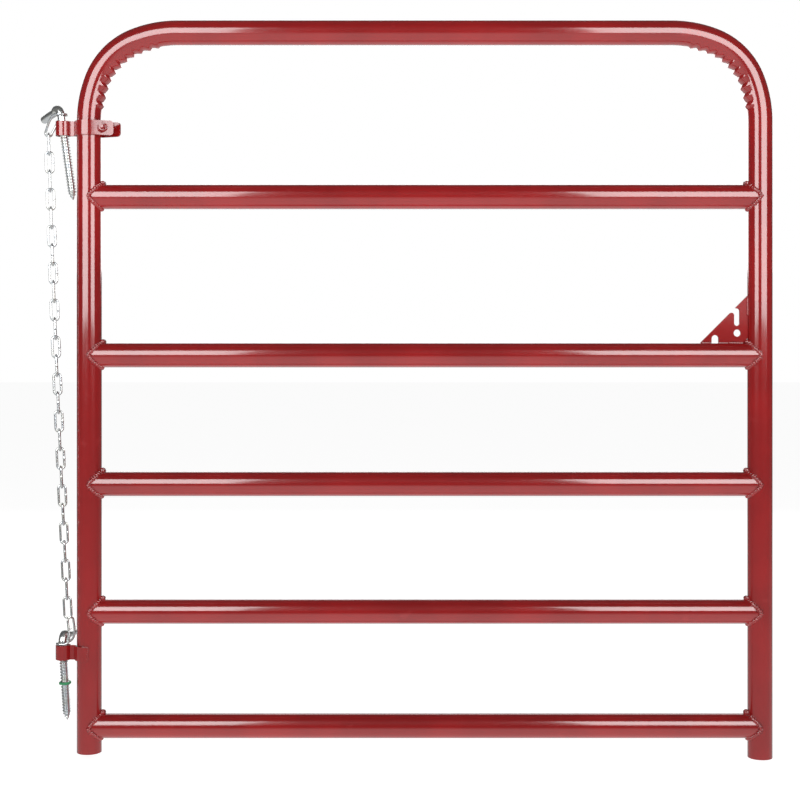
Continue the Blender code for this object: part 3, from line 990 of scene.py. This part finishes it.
def strap_front(sizes):
    """Middle line of a strap's front half in plan, from the eye's far side to the front of the leg."""
    eye = sizes.eye_bore + sizes.strap / 2
    leg = TUBE_RADIUS + GAP + sizes.strap / 2
    drop = sizes.neck + sizes.fillet
    near_x = math.sqrt((eye + sizes.fillet) ** 2 - drop**2)
    far_x = LEFT_LEG_X - math.sqrt((leg + sizes.fillet) ** 2 - drop**2)
    near_angle = math.atan2(drop, near_x)
    far_angle = math.atan2(drop, LEFT_LEG_X - far_x)
    return [
        *arc((0, 0), eye, -math.pi, -near_angle, 48),
        *arc((near_x, -drop), sizes.fillet, math.pi - near_angle, math.pi / 2, 10)[1:],
        *arc((far_x, -drop), sizes.fillet, math.pi / 2, far_angle, 10),
        *arc((LEFT_LEG_X, 0), leg, math.pi + far_angle, 1.5 * math.pi, 24)[1:],
    ]


def ear(sizes, length):
    """Plan of a front ear, and its half height at each point."""
    leg = TUBE_RADIUS + GAP + sizes.strap / 2
    turn = sizes.ear_angle
    half = STRAP_HEIGHT / 2
    round_part = arc((LEFT_LEG_X, 0), leg, 1.5 * math.pi, 1.5 * math.pi + turn, 8)[1:]
    along = Vector((math.cos(turn), math.sin(turn)))
    corner = arc((length - sizes.ear_corner, half - sizes.ear_corner), sizes.ear_corner, math.pi / 2, 0, 12)
    points = round_part + [round_part[-1] + along * c.x for c in corner]
    heights = [half] * len(round_part) + [c.y for c in corner]
    return points, heights


def flat_bar(name, plan, heights, eye, thickness):
    """A flat bar that stands on its plan."""
    shape = bmesh.new()
    rows = [
        [shape.verts.new((p.x, p.y, eye.z + side * h)) for p, h in zip(plan, heights)] for side in (-1, 1)
    ]
    for i in range(len(plan) - 1):
        shape.faces.new((rows[0][i], rows[0][i + 1], rows[1][i + 1], rows[1][i]))
    mesh = mesh_from(shape, name)
    bar = put(name, mesh)
    modifier(bar, "SOLIDIFY", thickness=thickness, offset=0, use_even_offset=True)
    return applied(bar)


class GATE_OT_straps(bpy.types.Operator):
    """Make the upper clamp strap and the lower welded strap"""

    bl_idname = "gate.straps"
    bl_label = "Hinge straps"

    def execute(self, context):
        sizes = context.scene.gate_hinges
        half = STRAP_HEIGHT / 2
        front = strap_front(sizes)
        level = [half] * len(front)
        front_ear, front_heights = ear(sizes, sizes.front_ear)
        back_ear, back_heights = ear(sizes, sizes.back_ear)
        back = [Vector((p.x, -p.y)) for p in front + back_ear]
        plan = [*reversed(back[1:]), *front, *front_ear]
        heights = [*reversed((level + back_heights)[1:]), *level, *front_heights]
        upper = flat_bar("upper_hinge_strap_skin", plan, heights, UPPER_EYE, sizes.strap)
        at = middle("clamp_bolt")
        hole = cylinder("hole", sizes.bolt_hole, 8 * TUBE_RADIUS, 48, Vector((at.x, 0, at.z)), FACE_FRONT)
        carve(upper, hole)
        rounded(upper, 0.00055)
        finish(upper, "upper_hinge", "red_paint", powder_coat(), "upper_hinge_strap")

        eye = sizes.eye_bore + sizes.strap / 2
        leg = TUBE_RADIUS + GAP + sizes.strap / 2
        closing = arc((0, 0), eye, math.radians(-338), -math.pi, 36)[:-1]
        end = arc((LEFT_LEG_X, 0), leg, 1.5 * math.pi, 1.5 * math.pi + math.radians(2), 2)[1:]
        plan = [*closing, *front, *end]
        lower = flat_bar("lower_hinge_strap_skin", plan, [half] * len(plan), LOWER_EYE, sizes.strap)
        rounded(lower, 0.00055)
        finish(lower, "gate", "red_paint", powder_coat(), "lower_hinge_strap")
        return {"FINISHED"}


def chamfered_hexagon(name, across_flats, depth, centre, chamfer_sides):
    """A hexagon with its corners turned off at the ends that show."""
    corner = across_flats / math.sqrt(3)
    block = cylinder(name, corner, depth, 6, centre, FACE_FRONT)
    turned = corner * 1.004
    inner = across_flats / 2 * 0.97
    rise = (turned - inner) * math.tan(math.radians(30))
    shape = bmesh.new()
    half = depth / 2
    profile = [(inner if -1 in chamfer_sides else turned, -half)]
    if -1 in chamfer_sides:
        profile.append((turned, -half + rise))
    if 1 in chamfer_sides:
        profile.append((turned, half - rise))
    profile.append((inner if 1 in chamfer_sides else turned, half))
    sides = 72
    turns = [2 * math.pi * i / sides for i in range(sides)]
    rings = [
        [shape.verts.new((radius * math.cos(turn), radius * math.sin(turn), height)) for turn in turns]
        for radius, height in profile
    ]
    for a, b in zip(rings, rings[1:]):
        for i in range(sides):
            j = (i + 1) % sides
            shape.faces.new((a[i], a[j], b[j], b[i]))
    shape.faces.new(list(reversed(rings[0])))
    shape.faces.new(rings[-1])
    shape.transform(Matrix.Translation(centre) @ FACE_FRONT.to_4x4())
    return carve(block, put("turned", mesh_from(shape, "turned")), "INTERSECT")


BOLT_PITCH = 0.0254 / 16  # sixteen threads to the inch


class GATE_OT_clamp_bolt(bpy.types.Operator):
    """Make the clamp bolt, its threaded end and its nut"""

    bl_idname = "gate.clamp_bolt"
    bl_label = "Clamp bolt and nut"

    def execute(self, context):
        sizes = context.scene.gate_hinges
        back = high("clamp_bolt").y
        end = low("clamp_bolt").y
        head_depth = 0.006
        thread_root = 0.90  # of the shank's radius
        at = middle("clamp_bolt")
        head_centre = Vector((at.x, back - head_depth / 2, at.z))
        head = chamfered_hexagon("bolt_head", sizes.hexagon, head_depth, head_centre, (-1,))
        head.data.materials.append(powder_coat())
        rod = [Vector((at.x, y, at.z)) for y in (back - head_depth / 2, back - 0.020, back - 0.0215)]
        steps = 130
        start = rod[-1].y
        rod += [Vector((at.x, start + (end - start) * (i + 1) / steps, at.z)) for i in range(steps)]
        shank = [1.0, 1.0] + [thread_root] * (len(rod) - 4) + [0.86, 0.76]
        thread = grown(
            "bolt_shank",
            path_mesh(rod, thick=[s * sizes.bolt for s in shank]),
            rod_tree("Bolt shank", powder_coat()),
            sides=32,
            pitch=BOLT_PITCH,
            crest=sizes.bolt - thread_root * sizes.bolt,
            thread_start=0.0185,
            thread_end=abs(end - rod[0].y) - 0.0006,
            width=0.98,
        )
        bolt = join("clamp_bolt_skin", [head, thread])
        bolt.data.set_sharp_from_angle(angle=math.radians(38))
        finish(bolt, "upper_hinge", "red_paint", powder_coat(), "clamp_bolt")

        low_nut, high_nut = low("clamp_nut"), high("clamp_nut")
        centre = (low_nut + high_nut) / 2
        depth = high_nut.y - low_nut.y
        nut = chamfered_hexagon("clamp_nut_skin", sizes.hexagon, depth, centre, (-1, 1))
        carve(nut, cylinder("bore", sizes.bolt + GAP, 2 * depth, 48, centre, FACE_FRONT))
        rounded(nut, 0.0003)
        finish(nut, "upper_hinge", "red_paint", powder_coat(), "clamp_nut")
        return {"FINISHED"}


# ---------------------------------------------------------------- lag hooks


def rod_tree(name, surface):
    """A round bar whose radius follows its path, with a thread on a part of it."""
    inputs = {
        "Sides": 32,
        "Pitch": 0.005,
        "Crest": 0.0018,
        "Width": 0.6,
        "Thread start": 0.0,
        "Thread end": 0.1,
    }
    net, given = new_tree(name, inputs)
    nominal = 0.001
    bar = sweep(net, given["Geometry"], given["Sides"], nominal, True)
    along = kept(net, "along")
    turns = along / given["Pitch"] + kept(net, "around")
    part = turns.math("FRACT", turns)
    ridge = 1.0 - part.math("ABSOLUTE", (part - 0.5) * 2.0) / given["Width"]
    ridge = ridge.math("MAXIMUM", ridge, 0.0)
    fade = net.step(along - given["Thread start"], -0.001, 0.006)
    fade = fade * net.step(given["Thread end"] - along, -0.0005, 0.004)
    radius = kept(net, "thick") + ridge * fade * given["Crest"]
    bar = push(net, bar, radius - nominal)
    return end_tree(net, bar, surface)


def lag_turn(lag):
    """A turn whose Z runs up the leaning shank, and whose X runs along the pin."""
    bearing = math.radians(lag["bearing"])
    up = Vector((-math.tan(math.radians(lag["lean"])), 0, 1)).normalized()
    level = Vector((math.cos(bearing), math.sin(bearing), 0))
    along = (level - level.dot(up) * up).normalized()
    return Matrix((along, up.cross(along), up)).transposed()


def lag_path(sizes, lag):
    """The rod's points in its own upright plane, from the thread's point to the pin's end, and its radii."""
    rise, droop = lag["rise"], math.radians(lag["droop"])
    tip = rise - lag["length"]
    thread_top = tip + lag["thread"]
    shank_steps = int(lag["thread"] / 0.00045)
    run = [((0, tip), 0.0004)]
    for i in range(1, shank_steps + 1):
        z = tip + lag["thread"] * i / shank_steps
        point = min(1, (z - tip) / sizes.point)
        run.append(((0, z), 0.0004 + (sizes.root - 0.0004) * point**0.8))
    run += [((0, thread_top + 0.0008), sizes.body), ((0, thread_top + 0.004), sizes.body)]
    run.append(((0, rise - sizes.bend - 0.004), sizes.body))
    steps = 26
    upset = sizes.elbow - sizes.body
    elbow = arc((sizes.bend, rise - sizes.bend), sizes.bend, math.pi, math.pi / 2 - droop, steps)
    for i, point in enumerate(elbow):
        run.append((tuple(point), sizes.body + upset * (i / steps) ** 2))
    start = Vector(run[-1][0])
    ahead = Vector((math.cos(droop), -math.sin(droop)))
    left = (lag["pin"] - start.x) / ahead.x
    for i in range(1, 13):
        fall = math.cos(math.pi / 2 * i / 12)
        run.append((tuple(start + ahead * 0.0095 * i / 12), sizes.body + upset * fall))
    ends = ((0.6, 1.0), (0.94, 1.0), (0.965, 0.985), (0.985, 0.93), (0.996, 0.82), (1.0, 0.62))
    run += [(tuple(start + ahead * left * part), sizes.body * scale) for part, scale in ends]
    points = [Vector((x, 0, z)) for (x, z), _ in run]
    return points, [radius for _, radius in run]


class GATE_OT_lag_hooks(bpy.types.Operator):
    """Make both lag-screw hinge pins, with their rolled threads"""

    bl_idname = "gate.lag_hooks"
    bl_label = "Lag hooks"

    def execute(self, context):
        sizes = context.scene.gate_lags
        tree = rod_tree("Lag hook", zinc_plate())
        for node, body, eye, lag in (
            ("upper_lag_hook", "upper_lag", UPPER_EYE, UPPER_LAG),
            ("lower_lag_hook", "lower_lag", LOWER_EYE, LOWER_LAG),
        ):
            points, radii = lag_path(sizes, lag)
            turn = lag_turn(lag)
            placed = [eye + turn @ point for point in points]
            hook = grown(
                f"{node}_skin",
                path_mesh(placed, thick=radii),
                tree,
                sides=36,
                pitch=sizes.pitch,
                crest=sizes.crest - sizes.root,
                width=sizes.crest_width,
                thread_start=0.002,
                thread_end=lag["thread"],
            )
            hook.data.set_sharp_from_angle(angle=math.radians(50))
            finish(hook, body, "zinc_plate", zinc_plate(), node)
        return {"FINISHED"}


class GATE_OT_keeper_ring(bpy.types.Operator):
    """Make the soft ring that keeps the lower lag in its eye"""

    bl_idname = "gate.keeper_ring"
    bl_label = "Keeper ring"

    def execute(self, context):
        turn = lag_turn(LOWER_LAG)
        centre = middle("keeper_ring")
        outer = 0.0103
        inner = 0.0081
        half = 0.0019
        round_off = 0.0006
        profile = []
        for (x, z), start in (
            ((outer - round_off, half - round_off), 0),
            ((inner + round_off, half - round_off), 0.5),
            ((inner + round_off, -half + round_off), 1.0),
            ((outer - round_off, -half + round_off), 1.5),
        ):
            profile += arc((x, z), round_off, start * math.pi, (start + 0.5) * math.pi, 5)
        shape = bmesh.new()
        sides = 72
        rings = []
        for i in range(sides):
            angle = 2 * math.pi * i / sides
            lobe = 1 + 0.012 * math.cos(12 * angle)
            ring = []
            for p in profile:
                radius = p.x * lobe if p.x > (outer + inner) / 2 else p.x
                ring.append(shape.verts.new((radius * math.cos(angle), radius * math.sin(angle), p.y)))
            rings.append(ring)
        count = len(profile)
        for a, b in zip(rings, rings[1:] + rings[:1]):
            for k in range(count):
                m = (k + 1) % count
                shape.faces.new((a[k], b[k], b[m], a[m]))
        shape.transform(Matrix.Translation(centre) @ turn.to_4x4())
        mesh = mesh_from(shape, "keeper_ring_skin")
        tidy_mesh(mesh)
        ring = put("keeper_ring_skin", mesh)
        mesh.shade_smooth()
        finish(ring, "keeper", "green_plastic", keeper_plastic(), "keeper_ring")
        return {"FINISHED"}


# ---------------------------------------------------------------- chain


def link_tree():
    """One long link of round wire, with the swelling of its butt weld, turned and moved to its place."""
    inputs = {
        "Inside": 0.032,
        "Outer width": 0.016,
        "Wire": 0.002,
        "Weld swelling": 0.0004,
        "Seed": 1.0,
        "Turn": (0.0, 0.0, 0.0),
        "Place": (0.0, 0.0, 0.0),
    }
    net, given = new_tree("Chain link", inputs)
    wire = given["Wire"]
    across = given["Outer width"] - wire * 2.0
    long_way = given["Inside"] + wire * 2.0
    sockets = {"Width": across, "Height": long_way}
    outline = net.add("GeometryNodeCurvePrimitiveQuadrilateral", {"mode": "RECTANGLE"}, sockets)
    sockets = {"Curve": outline, "Radius": across * 0.4995, "Count": 9}
    outline = net.add("GeometryNodeFilletCurve", {"mode": "POLY"}, sockets)
    outline = net.add("GeometryNodeResampleCurve", {"mode": "COUNT"}, {"Curve": outline, "Count": 72})
    outline = keep_value(net, outline, "axis", net.add("GeometryNodeInputPosition"), "FLOAT_VECTOR")
    bar = swept(net, outline, circle(net, 14, wire), False)
    axis = net.node("ShaderNodeSeparateXYZ", None, {0: kept(net, "axis", "FLOAT_VECTOR")})
    x, y = Wire(net, axis.outputs[0]), Wire(net, axis.outputs[1])
    near = 1.0 - net.step(y.math("ABSOLUTE", y), 0.0004, 0.0021)
    on_side = net.step(x, 0.0, 0.002)
    place = net.add("GeometryNodeInputPosition")
    shifted = net.vector("ADD", place, net.add("ShaderNodeCombineXYZ", None, {"X": given["Seed"]}))
    lump = net.noise(shifted, 700.0, 1.0)
    swell = near * on_side * given["Weld swelling"] * (0.6 + lump * 0.8)
    bar = push(net, bar, swell + (lump - 0.5) * 0.00008)
    sockets = {"Geometry": bar, "Rotation": (math.pi / 2, 0.0, 0.0)}
    upright = net.add("GeometryNodeTransform", None, sockets)
    sockets = {"Geometry": upright, "Rotation": given["Turn"], "Translation": given["Place"]}
    bar = net.add("GeometryNodeTransform", None, sockets)
    return end_tree(net, bar, zinc_plate())


class GATE_OT_chain(bpy.types.Operator):
    """Make the chain's links, each on its own body"""

    bl_idname = "gate.chain"
    bl_label = "Chain links"

    def execute(self, context):
        sizes = context.scene.gate_chain
        tree = link_tree()
        for number, node in enumerate(LINKS, 1):
            joint = JOINTS[f"link_{number:02d}_swing"]
            centre = middle(node)
            up = (Vector(joint["pos_m"]) - centre).normalized()
            flat = Vector(joint["axis"])
            flat = (flat - flat.dot(up) * up).normalized()
            if flat.x + flat.y < 0:
                flat = -flat
            turn = Matrix((flat.cross(up), flat, up)).transposed()
            link = grown(
                f"{node}_skin",
                path_mesh([(0, 0, 0), (0, 0, 0.001)]),
                tree,
                inside=sizes.inside,
                outer_width=sizes.width,
                wire=sizes.wire,
                weld_swelling=sizes.weld,
                seed=number * 0.37,
                turn=tuple(turn.to_euler()),
                place=tuple(centre),
            )
            finish(link, f"link_{number:02d}", "zinc_plate", zinc_plate(), node)
        return {"FINISHED"}


# Each end loop's run from the lag's neck: distance out, height over the eye and half width in millimetres,
# and the bearing of its width in degrees
UPPER_LOOP = (
    (0.0, 24.3, 9.6, 65),
    (7.0, 23.6, 9.6, 65),
    (13.0, 18.5, 9.3, 60),
    (18.5, 9.5, 8.4, 50),
    (23.5, 0.0, 7.0, 42),
    (26.8, -5.5, 6.0, 35),
)
LOWER_LOOP = (
    (0.0, 14.8, 9.6, 90),
    (6.5, 15.2, 9.6, 90),
    (12.5, 19.0, 9.4, 84),
    (15.5, 27.0, 8.8, 74),
    (15.5, 39.0, 7.4, 62),
    (13.6, 54.0, 6.0, 50),
)
LOOP_NECK_RADIUS = 0.0096
LOOP_TIP_RADIUS = 0.006


def loop_points(run, neck):
    """The closed run of an end loop, round the neck, out along both sides and round its tip."""
    first, last = run[0], run[-1]
    climb = 1 if last[1] > first[1] else -1
    bearing = math.radians(first[3])
    away = climb * Vector((math.sin(bearing), -math.cos(bearing), 0))

    def at(out, height, side, turned):
        width = Vector((math.cos(turned), math.sin(turned), 0))
        return neck + away * out + width * side + Vector((0, 0, height - first[1] * MM))

    legs = {}
    for side in (-1, 1):
        points = [at(out * MM, z * MM, side * half * MM, math.radians(t)) for out, z, half, t in run]
        legs[side] = smooth_through(points, 6)
    round_neck = arc((0, 0), LOOP_NECK_RADIUS, 0, math.pi, 24)[1:-1]
    crown = [at(-p.y, first[1] * MM, p.x, bearing) for p in round_neck]
    turned = math.radians(last[3])
    round_tip = arc((0, 0), LOOP_TIP_RADIUS, math.pi, 0, 18)[1:-1]
    tip = [at(last[0] * MM, last[1] * MM + climb * p.y, p.x, turned) for p in round_tip]
    return [*legs[-1], *tip, *reversed(legs[1]), *crown]


class GATE_OT_end_loops(bpy.types.Operator):
    """Make the two bent wire loops that hold the chain on the lag hooks"""

    bl_idname = "gate.end_loops"
    bl_label = "End loops"

    def execute(self, context):
        sizes = context.scene.gate_chain
        tree = rod_tree("End loop", zinc_plate())
        for node, body, run, joint in (
            ("upper_end_link", "upper_loop", UPPER_LOOP, "upper_loop_turn"),
            ("lower_end_link", "lower_loop", LOWER_LOOP, "lower_loop_turn"),
        ):
            points = loop_points(run, pivot(joint))
            loop = grown(
                f"{node}_skin",
                path_mesh(points, closed=True, thick=[sizes.wire] * len(points)),
                tree,
                sides=16,
                crest=0.0,
                thread_end=0.0,
            )
            finish(loop, body, "zinc_plate", zinc_plate(), node)
        return {"FINISHED"}


# ---------------------------------------------------------------- stage


def area_light(name, place, aim, width, height):
    data = bpy.data.lights.new(name, "AREA")
    data.shape = "RECTANGLE"
    data.size = width
    data.size_y = height
    lamp = bpy.data.objects.new(name, data)
    bpy.context.scene.collection.objects.link(lamp)
    lamp.location = place
    lamp.rotation_euler = (Vector(aim) - Vector(place)).to_track_quat("-Z", "Y").to_euler()
    return lamp


def white_room():
    """A white room: bright behind the gate, dimmer in what the gate mirrors."""
    world = bpy.data.worlds.new("white room")
    world.use_nodes = True
    net = Net(world.node_tree)
    back = world.node_tree.nodes["Background"]
    seen = net.add("ShaderNodeLightPath", output="Is Camera Ray")
    way = net.add("ShaderNodeTexCoord", output="Generated")
    height = net.add("ShaderNodeSeparateXYZ", None, {"Vector": way}, output="Z")
    mirrored = 0.08 + net.step(height * -1.0, 0.0, 0.45) * 0.6
    strength = mirrored * (1.0 - seen) + seen
    net.tree.links.new(strength.socket, back.inputs["Strength"])
    back.inputs["Color"].default_value = (1, 1, 1, 1)
    bpy.context.scene.world = world


def floor_material(colour):
    made = bpy.data.materials.new("pale floor")
    made.use_nodes = True
    net = Net(made.node_tree)
    shader = made.node_tree.nodes["Principled BSDF"]
    place = net.add("ShaderNodeTexCoord", output="Object")
    tint = net.mix(net.noise(place, 1.5, 2.0), tuple(channel * 0.985 for channel in colour), colour)
    feed(net, shader, Base_Color=tint)
    shader.inputs["Roughness"].default_value = 0.9
    shader.inputs["Specular IOR Level"].default_value = 0.1
    shader.inputs["Emission Color"].default_value = (1, 1, 1, 1)
    shader.inputs["Emission Strength"].default_value = 0.93
    return made


class GATE_OT_stage(bpy.types.Operator):
    """Make the floor, the lights and the camera"""

    bl_idname = "gate.stage"
    bl_label = "Floor, lights and camera"

    def execute(self, context):
        settings = context.scene.gate_stage
        size = 30
        shape = bmesh.new()
        bmesh.ops.create_grid(shape, x_segments=4, y_segments=4, size=size)
        shape.transform(Matrix.Translation((GATE_MIDDLE_X, 0, -0.0006)))
        mesh = mesh_from(shape, "floor")
        ground = put("floor", mesh)
        mesh.materials.append(floor_material(tuple(settings.floor)))
        ground.visible_glossy = False
        white_room()
        aim = Vector((GATE_MIDDLE_X, 0, 0.75))
        for side in (-1, 1):
            leg_x = GATE_MIDDLE_X + side * (RIGHT_LEG_X - LEFT_LEG_X) / 2
            width, height = settings.box_width, settings.box_height
            box = Vector((leg_x + side * width / 2, -settings.box_front, settings.box_low + height / 2))
            shine = area_light("front box", box, box + Vector((0, 1, 0)), width, height)
            shine.data.energy = settings.shine
            shine.visible_diffuse = False
        for name, y, z, power in (("front fill", -3.2, 2.6, settings.fill), ("top", 0.2, 3.6, settings.top)):
            lamp = area_light(name, Vector((GATE_MIDDLE_X, y, z)), aim, 4.5, 2.3)
            lamp.data.energy = power
            lamp.visible_glossy = False
        back = area_light("back fill", Vector((GATE_MIDDLE_X, 3.4, 1.8)), aim, 4.5, 1.6)
        back.data.energy = settings.back

        data = bpy.data.cameras.new("camera")
        data.sensor_width = 36
        data.lens = data.sensor_width * settings.distance / settings.span
        data.shift_y = (settings.aim[1] - settings.height) / settings.span
        camera = bpy.data.objects.new("camera", data)
        context.scene.collection.objects.link(camera)
        camera.location = (settings.aim[0], -settings.distance, settings.height)
        camera.rotation_euler = (math.pi / 2, 0, 0)
        context.scene.camera = camera
        context.scene.view_settings.view_transform = "Standard"
        return {"FINISHED"}


# ---------------------------------------------------------------- panel and registration

GROUPS = {
    "gate_frame": FrameSizes,
    "gate_welds": WeldSizes,
    "gate_hinges": HingeSizes,
    "gate_lags": LagSizes,
    "gate_chain": ChainSizes,
    "gate_latch": LatchSizes,
    "gate_finishes": Finishes,
    "gate_stage": StageSettings,
}
STEPS = (
    GATE_OT_frame_tube,
    GATE_OT_rails,
    GATE_OT_welds,
    GATE_OT_latch_plate,
    GATE_OT_straps,
    GATE_OT_clamp_bolt,
    GATE_OT_lag_hooks,
    GATE_OT_keeper_ring,
    GATE_OT_chain,
    GATE_OT_end_loops,
    GATE_OT_stage,
)


class GATE_PT_pieces(bpy.types.Panel):
    """The gate's sizes, colours and pieces"""

    bl_idname = "GATE_PT_pieces"
    bl_label = "Livestock panel gate"
    bl_space_type = "VIEW_3D"
    bl_region_type = "UI"
    bl_category = "Gate"

    def draw(self, context):
        layout = self.layout
        for name, group in GROUPS.items():
            box = layout.box()
            box.label(text=group.__doc__)
            for key in group.__annotations__:
                box.prop(getattr(context.scene, name), key)
        for step in STEPS:
            layout.operator(step.bl_idname)


def register():
    for group in GROUPS.values():
        bpy.utils.register_class(group)
    for name, group in GROUPS.items():
        setattr(bpy.types.Scene, name, PointerProperty(type=group))
    for step in STEPS:
        bpy.utils.register_class(step)
    bpy.utils.register_class(GATE_PT_pieces)


def unregister():
    bpy.utils.unregister_class(GATE_PT_pieces)
    for step in reversed(STEPS):
        bpy.utils.unregister_class(step)
    for name, group in GROUPS.items():
        delattr(bpy.types.Scene, name)
        bpy.utils.unregister_class(group)


def main():
    register()
    for step in STEPS:
        name = step.bl_idname.split(".")[1]
        getattr(bpy.ops.gate, name)()


if __name__ == "__main__":
    main()
